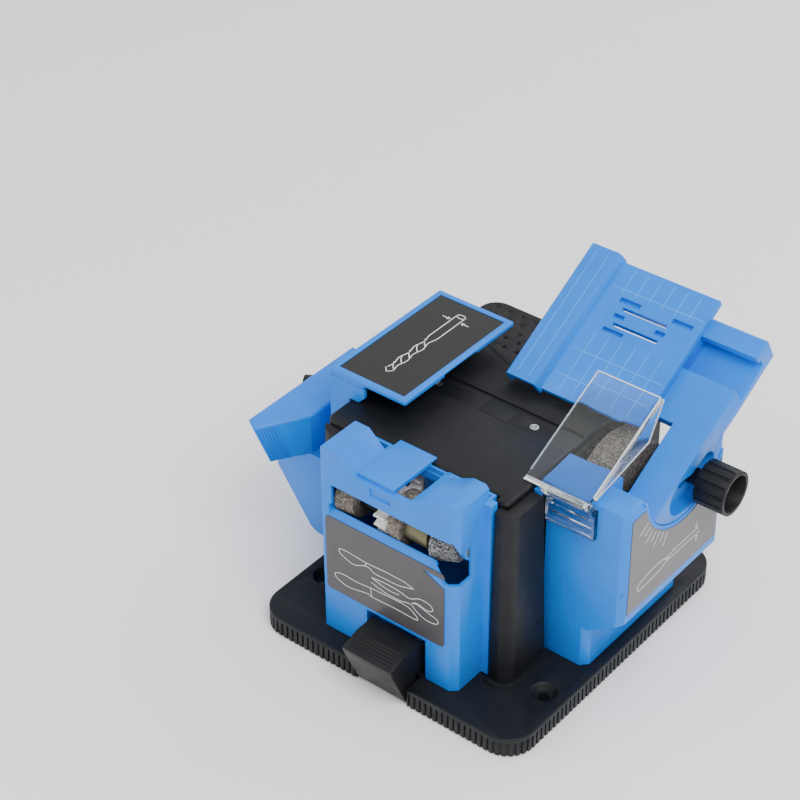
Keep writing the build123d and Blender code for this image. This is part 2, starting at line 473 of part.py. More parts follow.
def make_electrics():
    body = block(SWITCH_X - 10.4, SWITCH_X + 10.4, TOWER_Y1 - 22, TOWER_Y1, 52.1, 79.9)
    body += block(SWITCH_X - 12, SWITCH_X + 12, TOWER_Y1, TOWER_Y1 + 1.8, 50.5, 81.5)
    body -= block(SWITCH_X - 8.2, SWITCH_X + 8.2, TOWER_Y1 - 9, TOWER_Y1 + 3, 53.6, 78.4)
    save("switch_body", body)
    points = [(TOWER_Y1 - 2, SWITCH_Z - 11.4), (TOWER_Y1 + 2.6, SWITCH_Z - 11.2),
              (TOWER_Y1 + 1.0, SWITCH_Z), (TOWER_Y1 + 5.0, SWITCH_Z + 11.0),
              (TOWER_Y1 - 1.0, SWITCH_Z + 11.4), (TOWER_Y1 - 5.5, SWITCH_Z)]
    rocker = prism_x(points, SWITCH_X - 7.8, SWITCH_X + 7.8)
    save("switch_rocker", rocker)
    gland = rod_y(TOWER_Y1 - 10, TOWER_Y1, GLAND_X, GLAND_Z, 7)
    gland += rod_y(TOWER_Y1, TOWER_Y1 + 3, GLAND_X, GLAND_Z, 9.5)
    gland += rod_y(TOWER_Y1 + 3, TOWER_Y1 + 9, GLAND_X, GLAND_Z, 6.5)
    gland -= rod_y(TOWER_Y1 - 11, TOWER_Y1 + 10, GLAND_X, GLAND_Z, GLAND_BORE_R)
    save("cord_gland", gland)
    capacitor = block(-70, -56, 68, 94, FLOOR_Z1, 42)
    save("suppression_capacitor", fillet(capacitor.edges().filter_by(Axis.Z), 1.5))


# ---------------------------------------------------------------- knife and scissors head
def make_knife_head():
    outline = [
        (KNIFE_X0, BASE_Z + GAP), (KNIFE_X1, BASE_Z + GAP), (KNIFE_X1, KNIFE_HIGH - 2.5), (45, KNIFE_HIGH),
        (36, KNIFE_HIGH), (10, KNIFE_MID), (-30.5, KNIFE_MID), (-45, KNIFE_HIGH), (KNIFE_X0 + 2, KNIFE_HIGH),
        (KNIFE_X0, KNIFE_HIGH - 2),
    ]
    head = prism_y(outline, KNIFE_Y0, KNIFE_Y1)
    head -= block(-90, 80, COVER_Y0 - GAP, KNIFE_Y1 + 1, TOWER_TOP - GAP - 1, 180)
    head -= block(-90, 80, KNIFE_HIGH_Y1, KNIFE_Y1 + 1, COVER_TOP, 180)
    for x, out, size in ((KNIFE_X1, 1, 5.5), (KNIFE_X0, -1, 1.5)):
        corner = [(x + out, KNIFE_Y0 - 1), (x + out, KNIFE_Y0 + size), (x - out * size, KNIFE_Y0 - 1)]
        head -= prism_z(corner, 0, 200)
    head += block(KNIFE_X1 - 1, 52.8, -73, KNIFE_Y1, BASE_Z + GAP, 141)
    head += block(-63, KNIFE_X0 + 1, -73, KNIFE_Y1, BASE_Z + GAP, 141)
    head += block(KNIFE_X1 - 1, 52.8, -73, -66.5, 141, 151)
    roof = [(KNIFE_X0 + WALL, 0), (KNIFE_X1 - WALL, 0), (KNIFE_X1 - WALL, KNIFE_HIGH - WALL - 1),
            (36, KNIFE_HIGH - WALL), (10, KNIFE_MID - WALL), (-30, KNIFE_MID - WALL),
            (-45, KNIFE_HIGH - WALL), (KNIFE_X0 + WALL, KNIFE_HIGH - WALL)]
    cavity = prism_y(roof, KNIFE_Y0 + WALL, KNIFE_Y1 - WALL)
    cavity -= prism_z([(46, KNIFE_Y0 + 1), (46, KNIFE_Y0 + 7), (39, KNIFE_Y0 + 1)], 0, 200)
    cavity -= block(-90, 80, COVER_Y0 - GAP - WALL, KNIFE_Y1 + 1, TOWER_TOP - GAP - 1 - WALL, 180)
    head -= cavity
    # long front slot with its bevelled ledge, and the six-sided mouth on the corner
    slot = block(-50, 36, KNIFE_Y0 - 1, KNIFE_Y0 + WALL + 1, KNIFE_SLOT_Z0, KNIFE_SLOT_Z1)
    mouth = [(30, 114), (38, 101), (49, 101), (49, 122), (44, 135), (30, 134)]
    head -= slot + prism_y(mouth, KNIFE_Y0 - 1, -84)
    ledge_section = [(KNIFE_Y0, 110), (KNIFE_Y0 + 9, KNIFE_SLOT_Z0), (KNIFE_Y0 + 9, 113),
                     (KNIFE_Y0 + 1, 104), (KNIFE_Y0, 104)]
    ledge = prism_x(ledge_section, -55.5, 30)
    band = block(-52, 30, KNIFE_Y0 - 1, KNIFE_Y0 + WALL + 0.5, 110, KNIFE_SLOT_Z0 + 1)
    head = head - band + ledge
    # blade opening in the roof, drive opening in the back, recess for the latch
    head -= block(-3, 10, -95, -62, KNIFE_MID - 4, 170)
    head -= block(-31, -1, -93.5, -62, KNIFE_MID - 4, KNIFE_MID + 1)
    head -= block(-19, -3, KNIFE_Y0 - 1, KNIFE_Y0 + 1.2, 141, 147)
    head -= block(GEAR_X0 - 3, GEAR_X1 + 3, KNIFE_Y1 - 4, KNIFE_Y1 + 1, LAY_Z - 33, TOWER_TOP - 1.5)
    recess = block(-23, 24, KNIFE_Y0 - 1, KNIFE_Y0 + 12, 0, 47)
    pocket = block(-25, 26, KNIFE_Y0, KNIFE_Y0 + 14, BASE_Z + GAP, 49)
    head = head + pocket - recess
    head -= rod_x(KNIFE_X0 + WALL + 4, KNIFE_X1 - WALL - 4, SPINDLE_Y, SPINDLE_Z, STONE_R + 0.5)
    for x, length in ((KNIFE_X0 + WALL, 4), (KNIFE_X1 - WALL, -4)):
        x0, x1 = sorted((x, x + length))
        head += rod_x(x0, x1, SPINDLE_Y, SPINDLE_Z, 8) - rod_x(x0 - 1, x1 + 1, SPINDLE_Y, SPINDLE_Z, 6)
    save("knife_head_housing", head)

    plate = block(-30.4, -1.9, -97, -60.8, KNIFE_MID + 0.05, KNIFE_MID + 2.8)
    plate += block(-30.4, -1.9, -61, -55.5, COVER_TOP + GAP, KNIFE_MID + 2.8)
    plate += block(-30.2, -28, -92, -63, KNIFE_MID - 2, KNIFE_MID + 0.05)
    save("knife_guide_plate", plate)
    face = Plane.XZ.offset(-KNIFE_Y0) * Pos(-8, 79.5) * RectangleRounded(94, 59, 3)
    label = extrude(face, 0.5, dir=(0, -1, 0))
    label -= prism_y([(22, 105), (50, 105), (50, 90), (40, 97)], KNIFE_Y0 - 2, KNIFE_Y0 + 1)
    save("knife_label_plate", label)

    inside_x0, inside_x1 = KNIFE_X0 + WALL, KNIFE_X1 - WALL
    save("knife_spindle", rod_x(inside_x0 + 0.2, inside_x1 - 0.2, SPINDLE_Y, SPINDLE_Z, SPINDLE_R))
    bushes = [tube_x(x0, x1, SPINDLE_Y, SPINDLE_Z, 6, SPINDLE_R + FIT)
              for x0, x1 in ((inside_x0, inside_x0 + 4), (inside_x1 - 4, inside_x1))]
    save("spindle_bushes", *bushes)
    phase = MESH_ANGLE + pi + pi / SPINDLE_TEETH
    save("spindle_gear", gear(SPINDLE_TEETH, SPINDLE_PITCH_R, GEAR_X0, GEAR_X1, SPINDLE_Y, SPINDLE_Z,
                              SPINDLE_R, phase))
    save("knife_stone_left", spindle_ring(-50, -37, STONE_R, STONE_R - 2))
    save("knife_stone_middle", spindle_ring(-8, 1, STONE_R, STONE_R))
    save("scissor_stone_right", spindle_ring(24, 39, STONE_R, STONE_R - 5))
    save("brass_drum", spindle_ring(2.2, 19.5, 13, 13))
    save("spindle_spacers", spindle_ring(-36.5, -21, 8, 8), spindle_ring(-10.8, -8.4, 7, 7),
         spindle_ring(19.8, 23.7, 8, 14))

    profile = [(-129.5, 38.5), (-114.5, 43), (-99, 43), (-95, 39), (-95, 20), (-104.6, 20), (-104.6, 3.2),
               (-114.6, 3.2), (-128.4, 34.5)]
    lever = prism_x(profile, NOTCH_X0 + 1, NOTCH_X1 - 1)
    for i in range(6):
        start = -127.5 + 2.3 * i
        height = 38.5 + (start + 129.5) * 0.3
        rib = [(start, height - 0.3), (start + 1.1, height), (start + 0.55, height + 0.9)]
        lever += prism_x(rib, -15, 16)
    save("knife_head_latch", lever)
    save("latch_spring", *[coil_spring(x, -94.9, -88.1, 30) for x in (-10, 11)])


def spindle_ring(x0, x1, r0, r1):
    """Ring on the knife spindle, straight or tapered from r0 to r1."""
    points = [(x0, SPINDLE_R), (x1, SPINDLE_R), (x1, r1), (x0, r0)]
    profile = Plane.XZ * Polygon(*points, align=None)
    return Pos(0, SPINDLE_Y, SPINDLE_Z) * revolve(profile, Axis.X)


def coil_spring(x, y0, y1, z):
    """Short compression spring along Y."""
    height = y1 - y0 - 1.0
    path = Helix(pitch=height / 3, height=height, radius=3)
    ring = Plane(origin=path @ 0, z_dir=path % 0) * Circle(0.4)
    coil = sweep(ring, path=path)
    return Pos(x, y0 + 0.5, z) * Rot(-90, 0, 0) * coil


# ---------------------------------------------------------------- chisel head
def incline(s, n):
    """Point in Y and Z: s up the table's slope, n above the rail surface."""
    return (s * cos(TILT) - n * sin(TILT), RAIL_ORIGIN_Z + s * sin(TILT) + n * cos(TILT))


def sloped(x0, x1, s0, s1, n0, n1):
    """Block lying on the table's slope."""
    return prism_x([incline(s0, n0), incline(s1, n0), incline(s1, n1), incline(s0, n1)], x0, x1)


def make_chisel_head():
    outline = [
        (CHISEL_X0 + 0.2, BASE_Z + GAP), (CHISEL_FOOT_X1, BASE_Z + GAP), (CHISEL_FOOT_X1, CHISEL_KNEE_Z0),
        (CHISEL_X1, CHISEL_KNEE_Z1), (CHISEL_X1, CHISEL_TOP - 3.4), (CHISEL_X1 - 5, CHISEL_TOP),
        (CHISEL_X0 + 0.2, CHISEL_TOP),
    ]
    head = prism_y(outline, CHISEL_Y0, CHISEL_Y1)
    head -= corner_cut(CHISEL_X1, CHISEL_Y0, 4.5, 3.3, 0, 200)
    head -= corner_cut(CHISEL_FOOT_X1, CHISEL_Y0, 4.6, 5.0, 0, CHISEL_KNEE_Z0)
    head -= corner_cut(CHISEL_FOOT_X1, CHISEL_Y1, 4.6, -5.0, 0, CHISEL_KNEE_Z0)
    inner = [
        (0, 0), (CHISEL_FOOT_X1 - WALL, 0), (CHISEL_FOOT_X1 - WALL, CHISEL_KNEE_Z0 + 1.4),
        (CHISEL_X1 - WALL, CHISEL_KNEE_Z1 + 1.4), (CHISEL_X1 - WALL, CHISEL_TOP - 5),
        (CHISEL_X1 - 6, CHISEL_TOP - WALL), (0, CHISEL_TOP - WALL),
    ]
    cavity = prism_y(inner, CHISEL_Y0 + WALL, CHISEL_Y1 - WALL)
    cavity -= corner_cut(CHISEL_X1 - WALL, CHISEL_Y0 + WALL, 4.5, 3.3, 0, 200)
    cavity -= corner_cut(CHISEL_FOOT_X1 - WALL, CHISEL_Y0 + WALL, 4.6, 5.0, 0, CHISEL_KNEE_Z0)
    cavity -= corner_cut(CHISEL_FOOT_X1 - WALL, CHISEL_Y1 - WALL, 4.6, -5.0, 0, CHISEL_KNEE_Z0)
    head -= cavity
    # top edge that reaches over the tower's wall, with the lug at its front
    head += block(CHISEL_X0 - 3, CHISEL_X0 + 1, CHISEL_Y0, CHISEL_WINDOW_Y, TOWER_TOP + 0.5, CHISEL_TOP)
    head += block(CHISEL_X0 - 3, CHISEL_X0 - 0.6, LUG_Y0, CHISEL_Y0 + 0.1, TOWER_TOP + 0.5, 147.8)
    head += block(CHISEL_X0 - 3, CLIP_X0 - 0.5, LUG_Y0, LUG_Y0 + 3.1, TOWER_TOP + 0.5, 147.8)
    # inner wall that carries the clamp stud, beside the arm
    head += block(92.5, 96.6, CHISEL_Y0 + 1, CHISEL_Y1 - 1, 60, CHISEL_TOP)
    head += block(96, CHISEL_X1 - 0.5, CHISEL_Y0 + 1, 0, 84, 88)
    # cradle in which the arm of the tilting bracket turns, and the room under its rails
    head -= rod_x(ARM_X0 - GAP, 130, TILT_Y, TILT_Z, CRADLE_R + GAP)
    floor_arc = rod_x(96, CHISEL_X1 - 0.5, TILT_Y, TILT_Z, CRADLE_R + GAP + 2.2)
    floor_arc -= rod_x(95, CHISEL_X1, TILT_Y, TILT_Z, CRADLE_R + GAP)
    head += floor_arc & block(96, CHISEL_X1 - 0.5, CHISEL_Y0 + 2, CHISEL_Y1 - 2, 90, 148)
    front = CHISEL_WINDOW_Y
    rail_room = [(front, CHISEL_TOP - 10), (front, 170), (90, 170), (90, 135), (60, 135), (46, 137), (4, 124)]
    head -= prism_x(rail_room, 88, ARM_X0 + 1)
    head -= block(0, 92.6, front, CHISEL_Y1 + 1, 112, 170)
    head -= block(0, 92.6, front, CHISEL_Y1 - WALL, 100, 170)
    head -= rod_x(90, 98, STUD_Y, STUD_Z, STUD_R + FIT)
    # relief in the rear wall's top, where the bracket's rails come down
    head -= block(ARM_X0, CHISEL_X1 + 1, CHISEL_Y1 - WALL, CHISEL_Y1 + 1, 139.0, CHISEL_TOP + 1)
    save("chisel_head_housing", *head.solids())

    label = block(CHISEL_X1, CHISEL_X1 + 0.5, CHISEL_Y0 + 4.8, CHISEL_Y1 - 1.5, 70, CHISEL_TOP - 5.3)
    label -= rod_x(CHISEL_X1 - 1, CHISEL_X1 + 2, TILT_Y, TILT_Z, CRADLE_R + 3)
    save("chisel_label_plate", label)

    bracket = sloped(RAIL_X0, ARM_X1, RAIL_S[0], RAIL_S[3], -8, 0)
    bracket += sloped(RAIL_X0, ARM_X1, 92, RAIL_S[3], -19.5, 0)
    arm_outline = [(-12, RAIL_ORIGIN_Z - 12 * tan(TILT)), incline(RAIL_S[0] + 30, 0),
                   incline(RAIL_S[0] + 30, -19.5), (75, 150), (75, 90), (-12, 90)]
    sweep_disc = rod_x(ARM_X0 - 1, ARM_X1 + 1, TILT_Y, TILT_Z, CRADLE_R)
    bracket += prism_x(arm_outline, ARM_X0, ARM_X1) & (sweep_disc + sloped(ARM_X0, ARM_X1, 70, 130, -24, 2))
    bracket -= sloped(RAIL_X0 - 1, ARM_X1 + 1, RAIL_S[1], RAIL_S[2] - 3, CHANNEL_FLOOR, 1)
    bracket -= sloped(RAIL_X0 - 1, ARM_X1 + 1, RAIL_S[1], RAIL_S[2], CHANNEL_FLOOR, CHANNEL_LIP)
    # keyhole pocket round the knob's hub, the stud's slot in its floor and the room behind
    bracket -= straight_slot((29.7, 128.4), (43.5, 126.6), 12.3, ARM_X1 - 8, ARM_X1 + 1)
    bracket -= straight_slot((42, 131.5), (57.5, 137.8), 8, ARM_X1 - 8, ARM_X1 + 1)
    stud_reach = hypot(STUD_Y - TILT_Y, STUD_Z - TILT_Z)
    stud_angle = degrees(atan2(STUD_Z - TILT_Z, STUD_Y - TILT_Y))
    low, high = stud_angle - TILT_TRAVEL - 2, stud_angle + TILT_TRAVEL + 2
    bracket -= arc_slot(stud_reach, HUB_R + 0.7, low, high, ARM_X1 - 8, ARM_X1 + 1)
    bracket -= arc_slot(stud_reach, STUD_R + 0.5, low, high, ARM_X0 - 1, ARM_X1 + 1)
    bracket -= arc_slot(stud_reach, 9, low - 6, high + 6, ARM_X0 - 1, ARM_X0 + 6)
    top_edges = [e for e in bracket.edges().filter_by(Axis.X)
                 if e.length > 50 and abs(e.center().Z - incline(RAIL_S[3], 0)[1]) < 1.0]
    save("tilt_bracket", chamfer(top_edges, 1.5))

    stud = rod_x(91.2, KNOB_X1 - 6, STUD_Y, STUD_Z, STUD_R) + rod_x(88.5, 92.4, STUD_Y, STUD_Z, 5)
    save("clamp_stud", stud)
    knob = rod_x(KNOB_X0, KNOB_X1, STUD_Y, STUD_Z, KNOB_R)
    knob -= rod_x(KNOB_X1 - 12, KNOB_X1 + 1, STUD_Y, STUD_Z, KNOB_R - 2.4)
    for i in range(KNOB_FLUTES):
        turn = Pos(0, STUD_Y, STUD_Z) * Rot(i * 360 / KNOB_FLUTES, 0, 0)
        knob -= turn * Pos((KNOB_X0 + KNOB_X1) / 2 - 2, 0, KNOB_R + 0.2) * Rot(0, 90, 0) * Cylinder(1.1, 21.5)
    knob += rod_x(ARM_X1 - 7.5, KNOB_X0, STUD_Y, STUD_Z, HUB_R)
    knob -= rod_x(100, KNOB_X1 - 5.9, STUD_Y, STUD_Z, STUD_R + FIT)
    save("clamp_knob", knob)


def corner_cut(x, y, along_x, along_y, z0, z1):
    """Wedge that cuts an upright outer corner on the +X side, along_y measured into the body."""
    out_y = y - (1 if along_y > 0 else -1)
    plan = [(x + 1, y + along_y), (x, y + along_y), (x - along_x, y), (x - along_x, out_y), (x + 1, out_y)]
    return prism_z(plan, z0, z1)


def straight_slot(start, end, half_width, x0, x1):
    """Round-ended slot through a face across X, between two points in Y and Z."""
    (ya, za), (yb, zb) = start, end
    length = hypot(yb - ya, zb - za)
    ny, nz = -(zb - za) / length * half_width, (yb - ya) / length * half_width
    sides = [(ya + ny, za + nz), (yb + ny, zb + nz), (yb - ny, zb - nz), (ya - ny, za - nz)]
    return prism_x(sides, x0, x1) + rod_x(x0, x1, ya, za, half_width) + rod_x(x0, x1, yb, zb, half_width)


def arc_slot(radius, half_width, start, end, x0, x1):
    """Curved slot about the tilt centre, between two angles in degrees."""
    ring = tube_x(x0, x1, TILT_Y, TILT_Z, radius + half_width, radius - half_width)
    reach = 90
    wedge = [(TILT_Y, TILT_Z)]
    for angle in (start, (start + end) / 2, end):
        wedge.append((TILT_Y + reach * cos(radians(angle)), TILT_Z + reach * sin(radians(angle))))
    slot = ring & prism_x(wedge, x0, x1)
    for angle in (start, end):
        y, z = TILT_Y + radius * cos(radians(angle)), TILT_Z + radius * sin(radians(angle))
        slot += rod_x(x0, x1, y, z, half_width)
    return slot


def make_table():
    plate = sloped(PLATE_X0 - 1, PLATE_X1, PLATE_S0, PLATE_S1, 0.4, TABLE_TOP)
    key_x0, key_x1 = PLATE_X0 + 60, PLATE_X1 - 2
    key = sloped(key_x0, key_x1, RAIL_S[1] + GAP, RAIL_S[2] - 3 - GAP, CHANNEL_FLOOR + GAP, 0.5)
    key += sloped(key_x0, key_x1, RAIL_S[1] + GAP, RAIL_S[2] - GAP, CHANNEL_FLOOR + GAP, CHANNEL_LIP - GAP)
    table = plate + key + table_fence()
    # relief under the lower edge, which comes closest to the cover when the table tilts
    table -= sloped(-17, PLATE_X1 + 1, PLATE_S0 - 3, PLATE_S0 + 1, -1, 1.6)
    for x0, x1, s0, s1 in ((26.2, 60, 116.1, 118.4), (26.2, 60, 103.9, 106.4)):
        table -= sloped(x0, x1, s0, s1, -10, 20)
    pockets = ((21.3, 36.8, 121.0, 124.5), (23.6, 31.5, 109.8, 112.8), (22.0, 37.3, 98.4, 101.4),
               (60.9, 76.0, 121.2, 124.7), (54.6, 62.0, 109.5, 112.9))
    for x0, x1, s0, s1 in pockets:
        table -= sloped(x0, x1, s0, s1, 1.6, 20)
    save("sliding_table", table)


def table_fence():
    """Raised fence along the left of the table, hollow below and open at its lower end."""
    section = [(-16, 0.4), (-16, 9.8), (-14.6, 11.3), (5.6, 11.3), (7.4, 9.6), (9.0, 5.3), (9.0, 0.4)]
    core = [(-13.4, 0), (-13.4, 8.4), (4.4, 8.4), (6.2, 0)]
    frame = Plane(origin=(0, *incline(PLATE_S0 - 2, 0)), x_dir=(1, 0, 0), z_dir=(0, cos(TILT), sin(TILT)))
    length = PLATE_S1 - PLATE_S0 + 4

    def along(points, extent):
        mirrored = [(x, -n) for x, n in points]
        return extrude(frame * Polygon(*mirrored, align=None), extent, dir=(0, cos(TILT), sin(TILT)))
    return along(section, length) - along(core, length - 6)


def make_shield():
    slope = radians(SHIELD_SLOPE)
    along = (cos(slope), sin(slope))
    up = (-sin(slope), cos(slope))

    def at(s, n):
        return (SHIELD_Y + s * along[0] + n * up[0], SHIELD_Z + s * along[1] + n * up[1])
    # the plate's lower end is bevelled so that it lies flat just above the cover
    rest_z = COVER_TOP + GAP
    front_y = PIVOT_Y - 0.2
    rear_y = at(0, 0.6)[0] + (rest_z - at(0, 0.6)[1]) / tan(slope)
    plate = prism_x([(front_y, rest_z), (rear_y, rest_z), at(81, 0.6), at(81, 2.6),
                     (front_y, rest_z + 0.3)], 51, 97)
    wing = prism_x([at(3, 1), at(81, 1.2), at(58, -14.5)], 97, 99)
    left, right = CLIP_X0 + 5, CLIP_X1 - 5
    barrel = rod_x(left + 0.4, right - 0.4, PIVOT_Y, PIVOT_Z, 2.6)
    shield = plate + wing + barrel
    shield -= rod_x(48, CLIP_X1 + 1, PIVOT_Y, PIVOT_Z, PIVOT_R + FIT)
    for x0, x1 in ((CLIP_X0 - 0.5, left + 0.4), (right - 0.4, CLIP_X1 + 0.5)):
        shield -= rod_x(x0, x1, PIVOT_Y, PIVOT_Z, 3.0)
    save("clear_shield", *shield.solids())

    clip_y0, clip_y1 = CHISEL_Y0 - 4, CHISEL_Y0 - 0.1
    clip = block(CLIP_X0, CLIP_X1, clip_y0, clip_y1, 123.5, 145.2)
    for z in (126, 132, 138):
        clip -= block(CLIP_X0 + 2, CLIP_X1 - 2, clip_y0 - 1, clip_y0 + 1.4, z, z + 4)
    strap = [(clip_y0, 141), (clip_y1, 145), (PIVOT_Y + 2.2, PIVOT_Z), (PIVOT_Y - 1.5, PIVOT_Z - 1.9)]
    for x0, x1 in ((CLIP_X0, left), (right, CLIP_X1)):
        clip += rod_x(x0, x1, PIVOT_Y, PIVOT_Z, 2.6)
        clip += prism_x(strap, x0, x1)
    save("shield_clip", clip + rod_x(CLIP_X0 + 1, CLIP_X1 - 1, PIVOT_Y, PIVOT_Z, PIVOT_R))


# ---------------------------------------------------------------- drill head
def make_drill_head():
    outline = [
        (DRILL_X1, BASE_Z + GAP), (DRILL_X1, GUIDE_Z0 - GAP), (DRILL_X0, GUIDE_Z0 - GAP), (DRILL_X0, 71),
        (-118, 32), (-113, 29), (DRILL_FOOT_X0, 27), (DRILL_FOOT_X0, BASE_Z + GAP),
    ]
    head = prism_y(outline, DRILL_Y0, DRILL_Y1)
    head += block(PANEL_X0, DRILL_X1, PANEL_Y0, PANEL_Y1, GUIDE_Z0 - 2, LID_Z0)
    inner = [
        (DRILL_X1 + 1, 0), (DRILL_X1 + 1, GUIDE_Z0 - 3), (DRILL_X0 + WALL, GUIDE_Z0 - 3),
        (DRILL_X0 + WALL, 72), (-116, 34.5), (-112, 31.5), (DRILL_FOOT_X0 + WALL, 29.5),
        (DRILL_FOOT_X0 + WALL, 0),
    ]
    head -= prism_y(inner, DRILL_Y0 + WALL, DRILL_Y1 - WALL)
    head -= block(PANEL_X0 + 2.2, DRILL_X1 + 1, PANEL_Y0 + WALL, PANEL_Y1 - WALL, GUIDE_Z0 - 4, LID_Z0 + 1)
    head -= block(COVER_X0 - GAP, -70, -90, 120, TOWER_TOP - GAP, 180)
    head -= block(COLUMN_L[0] - GAP, -70, -90, COLUMN_Y1 + GAP, 0, 180)
    # the front wall's lower edge rises at 45 degrees towards the tower
    rise = [(-99.2, 128.3), (-72, 155.5), (-72, GUIDE_Z1 - 4), (-99.2, GUIDE_Z1 - 4)]
    head -= prism_y(rise, PANEL_Y0 - 1, PANEL_Y0 + WALL + 0.2)
    front_strip = block(COVER_X0 - 2, -72, PANEL_Y0, PANEL_Y0 + WALL, COVER_TOP + 0.5, LID_Z0)
    head += front_strip - prism_y(rise, PANEL_Y0 - 1, PANEL_Y0 + WALL + 1)
    head += block(COVER_X0 - 2, -75, PANEL_Y1 - WALL, PANEL_Y1, COVER_TOP + 0.5, LID_Z0)
    head -= rod_x(PANEL_X0 - 1, PANEL_X0 + 3, DRILL_CONTACT[1], DRILL_AXIS_Z, 11)
    head += rod_z(GUIDE_Z0 - 3, GUIDE_Z0 - GAP, *GUIDE_PIVOT, 12)
    head -= rod_z(GUIDE_Z0 - 9, GUIDE_Z0 + 1, *GUIDE_PIVOT, 5)
    for i in range(6):
        head -= block(DRILL_X0 - 1, DRILL_X0 + 4, 20 + 8 * i, 24 + 8 * i, 74, 88)
    save("drill_head_housing", *head.solids())

    lid = block(PANEL_X0, LID_X1, PANEL_Y0, PANEL_Y1, LID_Z0, LID_Z1)
    lid = fillet(lid.edges().filter_by(Axis.Z), 1.5)
    lid = chamfer(lid.faces().sort_by(Axis.Z)[-1].edges(), 0.8)
    lid -= block(PANEL_X0 + 4.5, LID_X1 - 4.5, PANEL_Y0 + 4.5, PANEL_Y1 - 4.5, LID_Z1 - 1.2, 180)
    lid -= block(-72, LID_X1 + 1, PANEL_Y0 - 1, PANEL_Y1 + 1, LID_Z0 - 1, LID_EDGE_Z0)
    lid -= block(LID_X1 - 4, LID_X1 + 1, -0.5, 33.5, LID_Z0 - 1, LID_EDGE_Z0 + 1.6)
    lid += block(-97.8, -83, PANEL_Y0 + 3, PANEL_Y0 + 5, LID_Z0 - 3, LID_Z0)
    lid += block(-97.8, -83, PANEL_Y1 - 5, PANEL_Y1 - 3, LID_Z0 - 3, LID_Z0)
    save("drill_head_lid", lid)
    save("drill_label_plate", block(PANEL_X0 + 4.6, LID_X1 - 4.6, PANEL_Y0 + 4.6, PANEL_Y1 - 4.6,
                                    LID_Z1 - 1.2, LID_Z1 - 0.5))

    plan = [(-115, -44), (-135.5, -76), (-142, -76), (DRILL_X0, -71), (DRILL_X0, 34), (-108, 34),
            (-104, 20), (-104, 0), (-115, -8)]
    guide = prism_z(plan, GUIDE_Z0, GUIDE_Z1)
    guide = fillet(guide.faces().sort_by(Axis.Z)[-1].edges(), 2.0)
    corner = (-115.0, -44.0)
    face_dir = atan2(-76 - corner[1], -135.5 - corner[0])
    front = Plane(origin=(*corner, 0), x_dir=(cos(face_dir), sin(face_dir), 0),
                  z_dir=(sin(face_dir), -cos(face_dir), 0))
    end_cut = Polygon((28, GUIDE_Z0 - 1), (39.5, GUIDE_Z1 + 1), (60, GUIDE_Z1 + 1), (60, GUIDE_Z0 - 1),
                      align=None)
    guide -= extrude(front * end_cut, 60, both=True)
    for i in range(7):
        foot = 14.5 + 2.1 * i
        rib = Polygon((foot, GUIDE_Z0 + 0.5), (foot + 0.9, GUIDE_Z0 + 0.5), (foot + 10.9, GUIDE_Z1 - 2.5),
                      (foot + 10, GUIDE_Z1 - 2.5), align=None)
        guide += extrude(front * rib, 0.9, both=True)
    yaw = radians(DRILL_YAW)
    contact = Vector(*DRILL_CONTACT, DRILL_AXIS_Z)
    heading = Vector(cos(yaw), sin(yaw), 0)
    bore = Plane(origin=contact - heading * 62, z_dir=heading)
    guide -= extrude(bore * Circle(DRILL_BORE_R + 3.3), 70)
    guide -= extrude(bore * Circle(12.4), 12.4)
    guide += rod_z(GUIDE_Z0 - 7, GUIDE_Z0 + 1, *GUIDE_PIVOT, 5 - FIT)
    save("drill_guide", guide)

    sleeve = Plane(origin=contact - heading * 50, z_dir=heading)
    collet = extrude(sleeve * Circle(DRILL_BORE_R + 3.2), 40) - extrude(sleeve * Circle(DRILL_BORE_R), 41)
    mouth = Plane(origin=contact - heading * 57, z_dir=heading)
    collet += extrude(mouth * Circle(12), 7) - extrude(mouth * Circle(DRILL_BORE_R), 8)
    save("drill_collet", collet)


make_base()
make_tower()
make_cover()
make_motor()
make_drive()
make_electrics()
make_knife_head()
make_chisel_head()
make_table()
make_shield()
make_drill_head()
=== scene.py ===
import json
import math

import bmesh
import bpy
from mathutils import Matrix, Vector


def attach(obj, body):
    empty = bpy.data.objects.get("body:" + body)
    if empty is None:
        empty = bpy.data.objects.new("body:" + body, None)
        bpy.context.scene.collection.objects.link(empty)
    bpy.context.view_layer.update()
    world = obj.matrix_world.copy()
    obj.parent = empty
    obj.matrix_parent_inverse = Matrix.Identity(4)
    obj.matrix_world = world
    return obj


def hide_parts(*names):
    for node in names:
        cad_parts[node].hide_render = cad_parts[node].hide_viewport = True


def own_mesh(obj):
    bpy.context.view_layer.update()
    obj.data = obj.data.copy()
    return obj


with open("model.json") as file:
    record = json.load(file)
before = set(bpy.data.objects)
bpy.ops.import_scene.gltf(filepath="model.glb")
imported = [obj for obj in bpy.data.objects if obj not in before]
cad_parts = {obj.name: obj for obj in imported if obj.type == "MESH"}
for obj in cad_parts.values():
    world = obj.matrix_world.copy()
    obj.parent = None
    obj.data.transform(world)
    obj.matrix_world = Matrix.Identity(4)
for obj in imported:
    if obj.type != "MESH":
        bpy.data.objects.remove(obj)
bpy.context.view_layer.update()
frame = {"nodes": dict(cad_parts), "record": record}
NODES = frame["nodes"]
MM = 0.001

